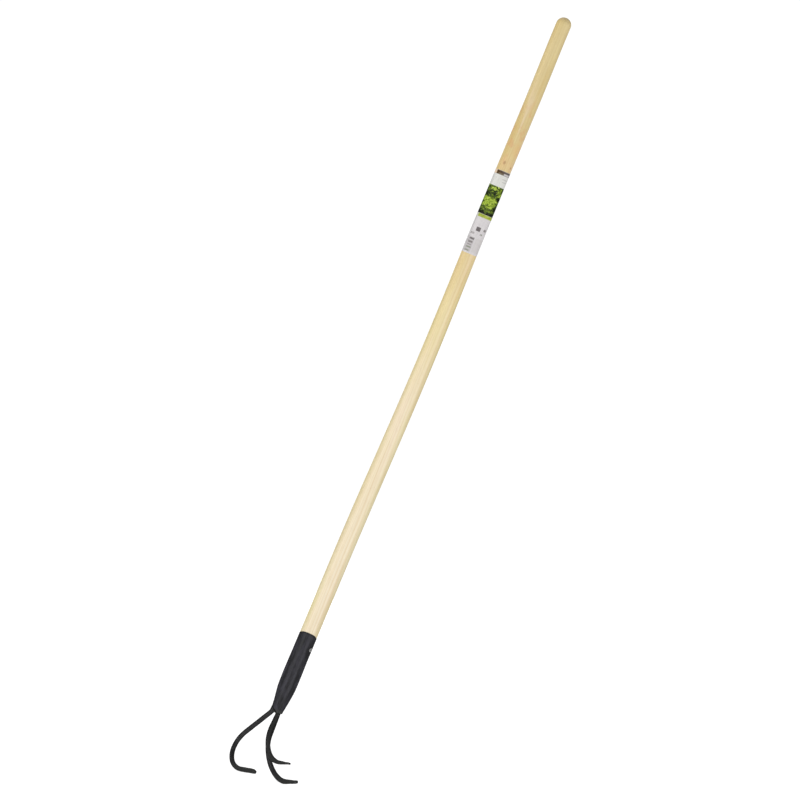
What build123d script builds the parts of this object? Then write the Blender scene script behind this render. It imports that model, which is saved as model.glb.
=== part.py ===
from build123d import *

import os
from math import cos, radians, sin, tan

# Long-handled three-tine hand cultivator. A turned wooden handle ends in a shouldered
# tenon inside a rolled and tapered steel socket. Three bent and forged tines are welded
# into the nose of the socket, and one countersunk screw pins the socket to the tenon.
# Millimetres. The origin is on the handle's axis at the mouth of the socket, +Z runs up
# the handle, and +X is the way the tips of the tines point. The outer tines stand either
# side of the XZ plane, and each is bent by hand, so they are not quite mirror images.

os.makedirs("parts", exist_ok=True)

# Handle
HANDLE_TOP = 1100.0
LOWER_R = 15.0  # parallel stretch above the socket
UPPER_R = 12.5  # parallel stretch that the hand holds
TAPER_BOTTOM = 225.0
TAPER_TOP = 829.5
TENON_TAPER = -50.0  # where the tenon begins to narrow
TENON_BOTTOM = -98.0
TENON_END_R = 12.0

# Socket
SOCKET_R = 15.2
WALL = 1.5
BORE_R = SOCKET_R - WALL
NOSE_START = -84.0  # where the barrel begins to close in
NOSE_END = -138.8
NOSE_END_R = 9.1
NOSE_FORWARD = 1.6  # how far the end of the nose stands forward of the handle's axis
SEAM_GAP = 0.8
MOUTH_RISE = 5.0  # how far the slanted mouth stands above and below z = 0
MOUTH_HIGH_SIDE = -38.6  # degrees from +X to the highest point of the mouth

# Rings of the socket's outside, from top to bottom: (height, radius, forward shift)
SOCKET_RINGS = [
    (2 * MOUTH_RISE, SOCKET_R, 0.0),
    (-50.0, SOCKET_R, 0.0),
    (NOSE_START, SOCKET_R, 0.55),
    (-96.0, 14.75, 0.9),
    (-106.0, 13.85, 1.1),
    (NOSE_END, NOSE_END_R, NOSE_FORWARD),
]

# Screw through the socket wall into the tenon
SCREW_Z = -21.5
SCREW_SIDE = 28.0  # degrees from +X
SCREW_FACE = 14.5  # distance of the head's face from the handle's axis
SCREW_HEAD_R = 3.6
SCREW_SHANK_R = 1.9
SCREW_LENGTH = 22.0
RECESS_DEPTH = 0.8
DIMPLE_RIM = 1.5  # how far the dimple's cone runs out past the head's face

# Tines: depths are measured down from the end of the nose, in each tine's own plane
ROD_R = 3.9
NOTCH_R = 4.0
NOTCH_LENGTH = 60.0
SHANK_TOP = -104.0
MIDDLE_NOSE_X = 6.5
MIDDLE_LEAN = 5.1  # degrees, backward
MIDDLE_BEND_DROP = 24.4
MIDDLE_BEND_R = 42.1
MIDDLE_RISE = 17.8  # how steeply the tip climbs
MIDDLE_TIP = 25.7
OUTER_NOSE_X = -1.6
OUTER_NOSE_Y = 6.65
OUTER_TOP_X = -1.5
OUTER_TOP_Y = 4.4
OUTER_CRANK_DROP = 2.0
OUTER_CRANK_R = 14.0  # the small bend just below the nose

# Bends of the outer tines, by name: side, tilt of the tine's plane out from vertical,
# backward lean of the shank, drop to the bend, bend radius, climb and length of the tip
OUTER_BENDS = {
    "right_tine": (1, 21.0, 21.4, 49.4, 45.6, 19.9, 35.9),
    "left_tine": (-1, 21.3, 19.95, 54.0, 42.4, 17.1, 34.3),
}

# Forged tips: (share of the tip's length, half width, half thickness)
OUTER_TIP_SECTIONS = [
    (0.0, ROD_R, ROD_R),
    (0.3, 4.8, 3.3),
    (0.62, 5.4, 2.9),
    (0.85, 4.6, 2.7),
    (1.0, 3.0, 2.2),
]
MIDDLE_TIP_SECTIONS = [
    (0.0, ROD_R, ROD_R),
    (0.3, 4.6, 2.4),
    (0.62, 5.0, 1.6),
    (0.85, 4.4, 1.3),
    (1.0, 3.0, 1.0),
]

# Welds
FILL_R = 7.45
FILL_DEPTH = 5.0
FILL_CROWN = 1.4  # how far the fill stands below the nose
BEAD_HEIGHT = 1.2
BEAD_REACH = 5.4  # reach of the side beads from the tine's axis
BEAD_START = 19.0  # along the tine, from its top end
BEAD_LENGTH = 16.0

# Label
LABEL_BOTTOM = 683.5
LABEL_TOP = TAPER_TOP
LABEL_THICK = 0.2


def handle_radius(z):
    """Radius of the handle on its tapered stretch."""
    return LOWER_R + (UPPER_R - LOWER_R) * (z - TAPER_BOTTOM) / (TAPER_TOP - TAPER_BOTTOM)


def direction(angle):
    """Level unit vector at an angle from +X."""
    return Vector(cos(radians(angle)), sin(radians(angle)), 0)


# The mouth plane is tipped so that its high side rises by MOUTH_RISE at the socket's wall.
mouth_slope = MOUTH_RISE / SOCKET_R
mouth_plane = Plane((0, 0, 0), z_dir=Vector(0, 0, 1) - mouth_slope * direction(MOUTH_HIGH_SIDE))

# ---- Screw ----
screw_dir = direction(SCREW_SIDE)
screw_centre = Vector(0, 0, SCREW_Z)
screw_plane = Plane(screw_centre, x_dir=screw_dir, z_dir=screw_dir.cross(Vector(0, 0, 1)))
screw_axis = Axis(screw_centre, screw_dir)
head_depth = SCREW_HEAD_R - SCREW_SHANK_R
screw_end = SCREW_FACE - SCREW_LENGTH

with BuildPart() as socket_screw:
    with BuildSketch(screw_plane):
        with BuildLine():
            Polyline(
                (SCREW_FACE, 0),
                (SCREW_FACE, SCREW_HEAD_R),
                (SCREW_FACE - head_depth, SCREW_SHANK_R),
                (screw_end + 4, SCREW_SHANK_R),
                (screw_end, 0),
                close=True,
            )
        make_face()
    revolve(axis=screw_axis)
    with BuildSketch(Plane(screw_centre + SCREW_FACE * screw_dir, x_dir=(0, 0, 1), z_dir=screw_dir)):
        Rectangle(4.4, 0.9)
        Rectangle(0.9, 4.4)
    extrude(amount=-RECESS_DEPTH, mode=Mode.SUBTRACT)

# ---- Handle ----
with BuildPart() as handle:
    with BuildSketch(Plane.XZ):
        with BuildLine():
            Polyline(
                (0, HANDLE_TOP),
                (0, -2 * MOUTH_RISE),
                (LOWER_R, -2 * MOUTH_RISE),
                (LOWER_R, TAPER_BOTTOM),
                (UPPER_R, TAPER_TOP),
                (UPPER_R, HANDLE_TOP - UPPER_R),
            )
            CenterArc((0, HANDLE_TOP - UPPER_R), UPPER_R, 0, 90)
        make_face()
    revolve(axis=Axis.Z)
    split(bisect_by=mouth_plane, keep=Keep.TOP)
    with BuildSketch(Plane.XZ):
        with BuildLine():
            Polyline(
                (0, TENON_BOTTOM),
                (TENON_END_R, TENON_BOTTOM),
                (BORE_R, TENON_TAPER),
                (BORE_R, 2 * MOUTH_RISE),
                (0, 2 * MOUTH_RISE),
                close=True,
            )
        make_face()
    revolve(axis=Axis.Z)
    add(socket_screw.part, mode=Mode.SUBTRACT)

# ---- Label: a thin paper sleeve pasted round the top of the taper ----
with BuildPart() as label:
    with BuildSketch(Plane.XZ):
        with BuildLine():
            Polyline(
                (handle_radius(LABEL_BOTTOM), LABEL_BOTTOM),
                (handle_radius(LABEL_BOTTOM) + LABEL_THICK, LABEL_BOTTOM),
                (UPPER_R + LABEL_THICK, LABEL_TOP),
                (UPPER_R, LABEL_TOP),
                close=True,
            )
        make_face()
    revolve(axis=Axis.Z)

# ---- Tine axes ----
middle_plane = Plane((0, 0, NOSE_END), x_dir=(1, 0, 0), z_dir=(0, -1, 0))


def outer_plane(side, tilt):
    """Plane that an outer tine is bent in, with its origin level with the end of the nose."""
    across = Vector(0, -side * cos(radians(tilt)), -sin(radians(tilt)))
    return Plane((0, side * OUTER_NOSE_Y, NOSE_END), x_dir=(1, 0, 0), z_dir=across)


def outer_shank_x(depth, lean):
    """Forward position of an outer tine's shank at a depth below the nose."""
    return OUTER_NOSE_X - depth * tan(radians(lean))


def middle_shank_x(depth):
    """Forward position of the middle tine's shank at a depth below the nose."""
    return MIDDLE_NOSE_X - depth * tan(radians(MIDDLE_LEAN))


# Where each shank starts inside the nose, and which way it runs down from there
outer_shanks = []
for side, tilt, lean, *_ in OUTER_BENDS.values():
    top = Vector(OUTER_TOP_X, side * OUTER_TOP_Y, SHANK_TOP)
    crank = outer_plane(side, tilt).from_local_coords(
        (outer_shank_x(OUTER_CRANK_DROP, lean), -side * OUTER_CRANK_DROP, 0)
    )
    outer_shanks.append((top, (crank - top).normalized()))
middle_top = Vector(middle_shank_x(NOSE_END - SHANK_TOP), 0, SHANK_TOP)
middle_entry = Vector(-sin(radians(MIDDLE_LEAN)), 0, -cos(radians(MIDDLE_LEAN)))
shanks = outer_shanks + [(middle_top, middle_entry)]


def tip_section(plane, root, heading, distance):
    """Plane across a tip, at a distance from the root, with its x along the flat's width."""
    return Plane(root + distance * heading, x_dir=plane.z_dir, z_dir=heading)


# ---- Middle tine ----
with BuildPart() as middle_tine:
    with BuildLine(middle_plane) as middle_path:
        middle_shank = Line(middle_top, (middle_shank_x(MIDDLE_BEND_DROP), -MIDDLE_BEND_DROP))
        middle_bend = JernArc(
            middle_shank @ 1, middle_shank % 1, MIDDLE_BEND_R, 90 + MIDDLE_RISE + MIDDLE_LEAN
        )
    with BuildSketch(Plane(middle_top, z_dir=middle_entry)):
        Circle(ROD_R)
    sweep(path=middle_path.line)
    root, heading = middle_bend @ 1, middle_bend % 1
    for share, half_width, half_thickness in MIDDLE_TIP_SECTIONS:
        with BuildSketch(tip_section(middle_plane, root, heading, share * MIDDLE_TIP)):
            Ellipse(half_width, half_thickness)
    loft()

# ---- Outer tines ----
outer_tines = {}
for (name, bends), (top, entry) in zip(OUTER_BENDS.items(), outer_shanks):
    side, tilt, lean, bend_drop, bend_radius, rise, tip = bends
    plane = outer_plane(side, tilt)
    with BuildPart() as outer_tine:
        with BuildLine(plane) as outer_path:
            outer_shank = FilletPolyline(
                top,
                (outer_shank_x(OUTER_CRANK_DROP, lean), -side * OUTER_CRANK_DROP),
                (outer_shank_x(bend_drop, lean), -side * bend_drop),
                radius=[OUTER_CRANK_R],
            )
            outer_bend = JernArc(
                outer_shank @ 1, outer_shank % 1, bend_radius, side * (90 + rise + lean)
            )
        with BuildSketch(Plane(top, z_dir=entry)):
            Circle(ROD_R)
        sweep(path=outer_path.line)
        root, heading = outer_bend @ 1, outer_bend % 1
        for share, half_width, half_thickness in OUTER_TIP_SECTIONS:
            with BuildSketch(tip_section(plane, root, heading, share * tip)):
                Ellipse(half_width, half_thickness)
        loft()
    outer_tines[name] = outer_tine

# ---- Socket: a rolled sheet with its seam at the back ----
with BuildPart() as socket:
    for height, radius, forward in SOCKET_RINGS:
        with BuildSketch(Plane((forward, 0, height))):
            Circle(radius)
    loft(ruled=True)
    for height, radius, forward in SOCKET_RINGS:
        with BuildSketch(Plane((forward, 0, height))):
            Circle(radius - WALL)
    loft(ruled=True, mode=Mode.SUBTRACT)
    split(bisect_by=mouth_plane, keep=Keep.BOTTOM)
    # Seam
    with BuildSketch(Plane.YZ):
        Rectangle(SEAM_GAP, 2 * (MOUTH_RISE - NOSE_END))
    extrude(amount=-2 * SOCKET_R, mode=Mode.SUBTRACT)
    # Side notches for the outer tines, and a groove inside the front wall for the middle one
    for top, entry in shanks:
        with BuildSketch(Plane(top, z_dir=entry)):
            Circle(NOTCH_R)
        extrude(amount=NOTCH_LENGTH, mode=Mode.SUBTRACT)
    # Dimple round the screw's head
    with BuildSketch(screw_plane):
        with BuildLine():
            Polyline(
                (SCREW_FACE - SCREW_HEAD_R, 0),
                (SCREW_FACE + DIMPLE_RIM, SCREW_HEAD_R + DIMPLE_RIM),
                (SCREW_FACE + DIMPLE_RIM, 0),
                close=True,
            )
        make_face()
    revolve(axis=screw_axis, mode=Mode.SUBTRACT)

# ---- Weld that fills the nose between the three shanks ----
with BuildPart() as nose_weld:
    with BuildSketch(Plane((NOSE_FORWARD, 0, NOSE_END + FILL_DEPTH))):
        Circle(FILL_R)
    extrude(amount=-FILL_DEPTH - FILL_CROWN)
    fillet(nose_weld.edges().sort_by(Axis.Z)[0], FILL_CROWN)
    for top, entry in shanks:
        with BuildSketch(Plane(top, z_dir=entry)):
            Circle(ROD_R)
        extrude(amount=NOTCH_LENGTH, mode=Mode.SUBTRACT)

# ---- Fillet welds where the outer tines leave the sides of the nose ----
with BuildPart() as side_welds:
    for top, entry in outer_shanks:
        with BuildSketch(Plane(top + BEAD_START * entry, z_dir=entry)):
            Circle(BEAD_REACH)
        extrude(amount=BEAD_LENGTH)
    for swell, mode in ((BEAD_HEIGHT, Mode.INTERSECT), (0.0, Mode.SUBTRACT)):
        for height, radius, forward in SOCKET_RINGS[-2:]:
            with BuildSketch(Plane((forward, 0, height))):
                Circle(radius + swell)
        loft(ruled=True, mode=mode)
    for outer_tine in outer_tines.values():
        add(outer_tine.part, mode=Mode.SUBTRACT)

finished = {
    "handle": handle,
    "label": label,
    "socket": socket,
    "socket_screw": socket_screw,
    "middle_tine": middle_tine,
    **outer_tines,
    "nose_weld": nose_weld,
    "side_welds": side_welds,
}
for name, piece in finished.items():
    piece.part.label = name
    export_step(piece.part, f"parts/{name}.step")
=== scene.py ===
"""Looks of the long-handled three-tine cultivator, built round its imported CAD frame.

Metres, in the frame of the part: the origin is on the handle's axis at the socket's mouth,
+Z runs up the handle, +X is the way the tips of the tines point. Shapes are worked out in
millimetres and turned into metres as they are made. They follow the CAD model, with the small
departures that forging, hammering, hand cutting and the wood's own bow put into a real tool.
"""

import functools
import math

import bpy
import numpy as np
from mathutils import Matrix, Vector, noise


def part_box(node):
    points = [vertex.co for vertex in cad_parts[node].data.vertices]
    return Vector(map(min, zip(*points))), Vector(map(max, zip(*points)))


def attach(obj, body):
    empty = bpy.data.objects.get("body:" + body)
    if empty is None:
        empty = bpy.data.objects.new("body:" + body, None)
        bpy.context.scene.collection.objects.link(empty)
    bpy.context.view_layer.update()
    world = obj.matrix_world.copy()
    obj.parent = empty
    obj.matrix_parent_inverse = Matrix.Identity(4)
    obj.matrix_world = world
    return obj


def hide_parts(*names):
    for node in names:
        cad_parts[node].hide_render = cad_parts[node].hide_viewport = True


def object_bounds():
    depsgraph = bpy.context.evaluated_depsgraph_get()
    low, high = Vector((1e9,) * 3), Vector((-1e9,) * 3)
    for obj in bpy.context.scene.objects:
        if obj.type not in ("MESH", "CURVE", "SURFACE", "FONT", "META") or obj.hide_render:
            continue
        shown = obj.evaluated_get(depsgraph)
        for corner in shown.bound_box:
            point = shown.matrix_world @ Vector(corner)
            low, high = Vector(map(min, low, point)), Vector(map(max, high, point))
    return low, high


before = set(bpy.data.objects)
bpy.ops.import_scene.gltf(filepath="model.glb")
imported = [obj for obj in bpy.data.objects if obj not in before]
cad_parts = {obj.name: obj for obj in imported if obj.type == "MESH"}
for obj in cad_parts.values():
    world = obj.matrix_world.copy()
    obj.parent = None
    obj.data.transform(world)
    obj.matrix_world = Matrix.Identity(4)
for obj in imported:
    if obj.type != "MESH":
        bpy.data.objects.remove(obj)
cad_low, cad_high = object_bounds()
MM = 0.001
FULL_TURN = 2 * math.pi

# ---- Places that come from the frame, in millimetres ----
handle_low, handle_high = (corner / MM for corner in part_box("handle"))
label_low, label_high = (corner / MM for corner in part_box("label"))
socket_low, socket_high = (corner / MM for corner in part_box("socket"))
HANDLE_TOP = handle_high.z
TENON_BOTTOM = handle_low.z
LOWER_R = handle_high.x
LABEL_BOTTOM, LABEL_TOP = label_low.z, label_high.z
NOSE_END = socket_low.z
MOUTH_RISE = socket_high.z

# ---- Handle ----
GRIP_R = 12.5
TAPER_BOTTOM = 225.0
TAPER_TOP = LABEL_TOP
TENON_TAPER = -50.0
TENON_END_R = 12.0
MOUTH_HIGH_SIDE = -38.6  # degrees from +X
MOUTH_DIP, MOUTH_FAR_DIP = 1.6, 1.04  # the mouth is cut low on the bowed side, less on the other
MOUTH_EASE = 12.0  # the wood's rings turn level again within this of the slanted mouth
BOW_DEPTH = 3.3  # the wood's own gentle bow, sideways
BOW_SIDE = 51.1  # degrees from +X
BOW_LOW, BOW_HIGH = 130.0, 850.0
SWAYS = ((700, 800, 0.55), (940, 1080, -1.2))  # further drifts: from, to, how far sideways

# ---- Socket ----
SOCKET_R = 15.2
WALL = 1.5
BORE_R = SOCKET_R - WALL
NOSE_KNEE = -96.7  # where the nose's straight sides would meet the barrel
NOSE_SLOPE = 0.1448
KNEE_SOFTNESS = 6.2
NOSE_FORWARD = 1.6
SEAM_GAP = 0.8
SEAM_TURN_IN, SEAM_ROUND, SEAM_STEP = 0.35, 1.3, 0.12
NOTCH_RISE = 7.0  # about how much higher the lower edge is where the outer tines come out
NOTCH_SIDE = 128.9  # degrees from +X, either way, where it is highest
TINE_SIDE, TINE_SPAN = 115, 24  # degrees: where an outer tine lifts the sheet, and how widely
TINE_SWELL = 0.7
SHEET_PROUD = 0.15  # the sheet stands this far outside the CAD socket
BARREL_SWELL = 0.40  # and this much further between the screw and the nose
DIMPLE_DEPTH, DIMPLE_R = 1.15, 4.6  # round the screw
WAVINESS = 0.07
DENT_DEPTH, FINE_DENT_DEPTH = 0.30, 0.10
FOLD_DEPTH, FOLD_COUNT, FOLD_TURN = 0.80, 8, 130  # round the nose; the turn is in degrees
LIP_HEIGHT, LIP_DROP = 0.6, 0.35

# ---- Screw ----
SCREW_Z = -21.5
SCREW_SIDE = 28.0  # degrees from +X
SCREW_FACE = 14.5
SCREW_HEAD_R = 3.6
SCREW_SHANK_R = 1.9
SCREW_LENGTH = 22.0
SCREW_POINT = 4.0
SCREW_CROWN = 0.12
CROSS_DEPTH, CROSS_REACH, CROSS_HALF_WIDTH = 1.3, 2.4, 0.75
CROSS_TURN = 24.0  # degrees

# ---- Tines ----
ROD_R = 4.06
SHANK_TOP = -104.0
MIDDLE_NOSE_X = 6.5
OUTER_NOSE = (-1.6, 6.65)
OUTER_TOP = (-1.5, 4.4)
CRANK_DROP = 2.0
CRANK_R = 14.0
# Hammer marks deepen towards the end: from this far back, over this length
FORGED_FROM, FORGED_OVER = 60, 30

# ---- Weld beads ----
BEAD_R = 1.2
BEAD_PITCH = 1.9
BEAD_SINK = 0.95  # how far a bead's own centre lies inside the rod it covers

# ---- Camera, in metres and degrees, with its lens in millimetres ----
CAMERA_AZIMUTH = 51.1
CAMERA_HEIGHT = 0.71874
CAMERA_DISTANCE = 5.5
CAMERA_LENS = 150.5
CAMERA_ROLL = 22.73
AIM_HEIGHT = 0.41734
AIM_LEFT = 0.0104

# ---- Stage, in metres ----
FLOOR_DROP = 0.0008  # the forged outer bends reach almost this far below the CAD rods
FLOOR_REACH = 40
LIGHT_DISTANCE = 2.6
LIGHT_AIM = 0.4
WHITE = (1, 1, 1, 1)
# Degrees from the camera, height, width, length, watts, and whether it shows in shiny surfaces
LIGHTS = {
    "soft_left": (-36, 0.1, 0.9, 4.4, 36, True),
    "soft_right": (33, 0.1, 0.9, 4.4, 36, True),
    "fill_left": (-92, 0.7, 1.2, 2.6, 27, False),
    "fill_right": (92, 0.7, 1.2, 2.6, 20, False),
    "fill_back": (180, 0.7, 1.6, 2.6, 26, False),
}


def level(angle):
    """Level unit vector at an angle in degrees from +X."""
    a = math.radians(angle)
    return Vector((math.cos(a), math.sin(a), 0))


def soft_step(value, low, high):
    """Rise smoothly from 0 at low to 1 at high."""
    share = min(max((value - low) / (high - low), 0.0), 1.0)
    return share * share * (3 - 2 * share)


def bow(z):
    """How far the handle's centre stands to its bowed side at height z, in millimetres."""
    share = min(max((z - BOW_LOW) / (BOW_HIGH - BOW_LOW), 0.0), 1.0)
    sway = sum(side * soft_step(z, low, high) for low, high, side in SWAYS)
    return BOW_DEPTH * (1 - math.cos(FULL_TURN * share)) / 2 + sway


def handle_radius(z):
    share = min(max((z - TAPER_BOTTOM) / (TAPER_TOP - TAPER_BOTTOM), 0.0), 1.0)
    return LOWER_R + (GRIP_R - LOWER_R) * share


def toward_camera(azimuth):
    """Level direction from the object to a viewer at this azimuth."""
    return level(azimuth - 90)


def make_camera():
    place = toward_camera(CAMERA_AZIMUTH) * CAMERA_DISTANCE
    place.z = CAMERA_HEIGHT
    aim = Vector((0, 0, AIM_HEIGHT)) - level(CAMERA_AZIMUTH) * AIM_LEFT
    data = bpy.data.cameras.new("camera")
    data.lens = CAMERA_LENS
    data.sensor_width = 36
    data.clip_end = 100
    camera = bpy.data.objects.new("camera", data)
    bpy.context.scene.collection.objects.link(camera)
    camera.location = place
    facing = (aim - place).to_track_quat("-Z", "Y")
    roll = Matrix.Rotation(math.radians(CAMERA_ROLL), 3, "Z").to_quaternion()
    camera.rotation_mode = "QUATERNION"
    camera.rotation_quaternion = facing @ roll
    bpy.context.scene.camera = camera


# ---- Shader building ----
class Shader:
    """A material being built. Most methods add nodes and return their output socket."""

    def __init__(self, name):
        self.material = bpy.data.materials.new(name)
        self.material.use_nodes = True
        self.tree = self.material.node_tree
        self.surface = self.tree.nodes["Principled BSDF"]
        coordinates = self.tree.nodes.new("ShaderNodeTexCoord").outputs
        self.place, self.normal = coordinates["Object"], coordinates["Normal"]

    def put(self, socket, value):
        if isinstance(value, bpy.types.NodeSocket):
            self.tree.links.new(value, socket)
        else:
            socket.default_value = value

    def set(self, **values):
        """Set or link the surface's own sockets: base_color becomes Base Color."""
        for name, value in values.items():
            title = " ".join(w.upper() if w == "ior" else w.capitalize() for w in name.split("_"))
            self.put(self.surface.inputs[title], value)

    def math(self, kind, a, b=0.0):
        node = self.tree.nodes.new("ShaderNodeMath")
        node.operation = kind
        self.put(node.inputs[0], a)
        self.put(node.inputs[1], b)
        return node.outputs[0]

    def plus(self, *values):
        return functools.reduce(lambda a, b: self.math("ADD", a, b), values)

    def minus(self, a, b):
        return self.math("SUBTRACT", a, b)

    def times(self, *values):
        return functools.reduce(lambda a, b: self.math("MULTIPLY", a, b), values)

    def vector(self, kind, a, b=(0, 0, 0)):
        node = self.tree.nodes.new("ShaderNodeVectorMath")
        node.operation = kind
        self.put(node.inputs[0], a)
        self.put(node.inputs[1], b)
        return node.outputs["Value" if kind in ("LENGTH", "DOT_PRODUCT") else "Vector"]

    def parts(self, vector):
        node = self.tree.nodes.new("ShaderNodeSeparateXYZ")
        self.put(node.inputs[0], vector)
        return node.outputs

    def join(self, x, y, z):
        node = self.tree.nodes.new("ShaderNodeCombineXYZ")
        for socket, value in zip(node.inputs, (x, y, z)):
            self.put(socket, value)
        return node.outputs[0]

    def noise(self, per_metre, detail=2.0, roughness=0.5, distortion=0.0, at=None, shift=0.0):
        """Noise from about 0 to 1, with its own number of features per metre along X, Y and Z."""
        scaled = self.vector("MULTIPLY", self.place if at is None else at, per_metre)
        moved = self.vector("ADD", scaled, (shift, shift, shift))
        node = self.tree.nodes.new("ShaderNodeTexNoise")
        self.put(node.inputs["Vector"], moved)
        node.inputs["Scale"].default_value = 1.0
        node.inputs["Detail"].default_value = detail
        node.inputs["Roughness"].default_value = roughness
        node.inputs["Distortion"].default_value = distortion
        return node.outputs["Fac"]

    def cells(self, per_metre):
        """Distance to the nearest of a scatter of points."""
        scaled = self.vector("MULTIPLY", self.place, per_metre)
        node = self.tree.nodes.new("ShaderNodeTexVoronoi")
        self.put(node.inputs["Vector"], scaled)
        node.inputs["Scale"].default_value = 1.0
        return node.outputs["Distance"]

    def spread(self, value, low, high, to_low=0.0, to_high=1.0):
        """Carry low..high smoothly onto to_low..to_high."""
        node = self.tree.nodes.new("ShaderNodeMapRange")
        node.interpolation_type = "SMOOTHSTEP"
        for socket, number in zip(node.inputs, (value, low, high, to_low, to_high)):
            self.put(socket, number)
        return node.outputs[0]

    def window(self, value, low, high, soft):
        """1 between low and high, falling smoothly to 0 from the soft width inside each end
        to the soft width outside it."""
        rise = self.spread(value, low - soft, low + soft)
        fall = self.spread(value, high - soft, high + soft, 1.0, 0.0)
        return self.times(rise, fall)

    def spot(self, centre, radius, stretch):
        """1 at a point of the surface, falling to 0 a radius away, and stretched along Z."""
        away = self.vector("SUBTRACT", self.place, centre)
        away = self.vector("MULTIPLY", away, (1, 1, 1 / stretch))
        return self.spread(self.vector("LENGTH", away), 0.25 * radius, radius, 1.0, 0.0)

    def ramp(self, value, *stops):
        node = self.tree.nodes.new("ShaderNodeValToRGB")
        elements = node.color_ramp.elements
        while len(elements) < len(stops):
            elements.new(0.5)
        for element, (position, colour) in zip(elements, stops):
            element.position = position
            element.color = (*colour, 1)
        self.put(node.inputs[0], value)
        return node.outputs["Color"]

    def mix(self, share, a, b, blend="MIX"):
        node = self.tree.nodes.new("ShaderNodeMix")
        node.data_type = "RGBA"
        node.blend_type = blend
        self.put(node.inputs["Factor"], share)
        for title, colour in (("A", a), ("B", b)):
            socket = next(s for s in node.inputs if s.name == title and s.type == "RGBA")
            self.put(socket, colour if isinstance(colour, bpy.types.NodeSocket) else (*colour, 1))
        return next(s for s in node.outputs if s.type == "RGBA")

    def bump(self, height, depth):
        """Raise the surface by up to depth metres where height is 1."""
        node = self.tree.nodes.new("ShaderNodeBump")
        node.inputs["Strength"].default_value = 1.0
        node.inputs["Distance"].default_value = depth
        self.put(node.inputs["Height"], height)
        self.tree.links.new(node.outputs[0], self.surface.inputs["Normal"])


# ---- Materials ----
RINGS_PER_METRE = 360.0
# Pin knots: degrees from +X, height and size in metres. The first two are just above the label
KNOTS = (
    (-54, 0.843, 0.0032),
    (12, 0.838, 0.0022),
    (97, 0.312, 0.0030),
    (-163, 0.574, 0.0026),
    (178, 0.962, 0.0030),
    (60, 0.128, 0.0024),
)


def wood_material():
    s = Shader("handle_wood")
    x, y, z = s.parts(s.place)
    # Growth rings about a pith that lies outside the handle and runs a little askew to it
    wander = s.noise((14, 14, 1.6), detail=2, shift=3.0)
    askew_x = s.plus(s.times(z, 0.012), 0.030)
    askew_y = s.plus(s.times(z, -0.006), 0.012)
    from_pith = s.vector("LENGTH", s.join(s.plus(x, askew_x), s.plus(y, askew_y), 0.0))
    phase = s.plus(s.times(from_pith, RINGS_PER_METRE), s.times(wander, 3.2))
    ring = s.math("FRACT", phase)
    late = s.times(s.spread(ring, 0.35, 0.9), s.spread(ring, 1.0, 0.93))
    # Fibres along the handle, fine and coarse, and pores as short dark dashes
    fine = s.noise((1500, 1500, 26), detail=3, roughness=0.6)
    coarse = s.noise((330, 330, 5), detail=3, roughness=0.55, shift=7.0)
    cloud = s.noise((30, 30, 3.5), detail=2, shift=11.0)
    pores = s.spread(s.cells((900, 900, 70)), 0.16, 0.05)
    grain = s.plus(s.times(fine, 0.45), s.times(coarse, 0.55))
    # Cream near the socket, tan at the grip
    pale = s.ramp(
        s.spread(z, -0.05, 1.05),
        (0.0, (0.85, 0.75, 0.57)),
        (0.40, (0.84, 0.73, 0.52)),
        (0.62, (0.80, 0.67, 0.39)),
        (0.72, (0.75, 0.60, 0.31)),
        (1.0, (0.66, 0.52, 0.22)),
    )
    deep = s.mix(1.0, pale, (0.84, 0.72, 0.55), blend="MULTIPLY")
    colour = s.mix(s.times(late, 0.38), pale, deep)
    colour = s.mix(s.spread(grain, 0.42, 0.66, 0.0, 0.48), colour, deep)
    colour = s.mix(s.spread(cloud, 0.45, 0.75, 0.0, 0.25), colour, (0.86, 0.76, 0.54))
    # Long streaks, some yellower and some pinker
    streak = s.noise((95, 95, 6), detail=2, roughness=0.5, shift=17.0)
    colour = s.mix(s.spread(streak, 0.55, 0.70, 0.0, 0.35), colour, (0.78, 0.67, 0.33))
    colour = s.mix(s.spread(streak, 0.45, 0.30, 0.0, 0.35), colour, (0.84, 0.68, 0.52))
    # Painted shade: each flank below the label, where the handle turns side-on to the camera, is
    # darker, and also yellower
    facing = s.vector("DOT_PRODUCT", s.normal, level(BOW_SIDE))
    sideways = s.math("ABSOLUTE", facing)
    painted_flank_shade = s.times(s.spread(sideways, 0.40, 0.92), s.spread(z, 0.72, 0.55))
    shaded_yellower = s.mix(1.0, colour, (0.89, 0.90, 0.77), blend="MULTIPLY")
    colour = s.mix(painted_flank_shade, colour, shaded_yellower)
    colour = s.mix(s.times(pores, 0.35), colour, (0.42, 0.28, 0.13))
    # Reddish flecks and one orange patch above the label
    flecks = s.noise((120, 120, 60), detail=2, roughness=0.6, shift=5.0)
    near_label = s.times(s.spread(z, 0.82, 0.85), s.spread(z, 1.0, 0.88))
    red = s.times(s.spread(flecks, 0.52, 0.66), near_label)
    colour = s.mix(s.times(red, 0.36), colour, (0.66, 0.30, 0.15))
    orange = s.spot(level(20) * GRIP_R * MM + Vector((0, 0, 0.868)), 0.016, 1.3)
    colour = s.mix(s.times(orange, 0.35), colour, (0.78, 0.44, 0.17))
    for side, height, size in KNOTS:
        heart = level(side) * handle_radius(height / MM) * MM
        heart += level(BOW_SIDE) * bow(height / MM) * MM + Vector((0, 0, height))
        halo = s.times(s.spot(heart, 4.2 * size, 1.5), 0.24)
        colour = s.mix(halo, colour, (0.80, 0.47, 0.27))
        core = s.times(s.spot(heart, size, 1.5), 0.55)
        colour = s.mix(core, colour, (0.30, 0.14, 0.06))
    s.set(base_color=colour)
    s.set(roughness=s.spread(grain, 0.3, 0.7, 0.46, 0.60), specular_ior_level=0.35)
    relief = s.plus(grain, s.times(late, 0.3), pores)
    s.bump(s.minus(1.0, relief), 0.00006)
    return s.material


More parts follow.
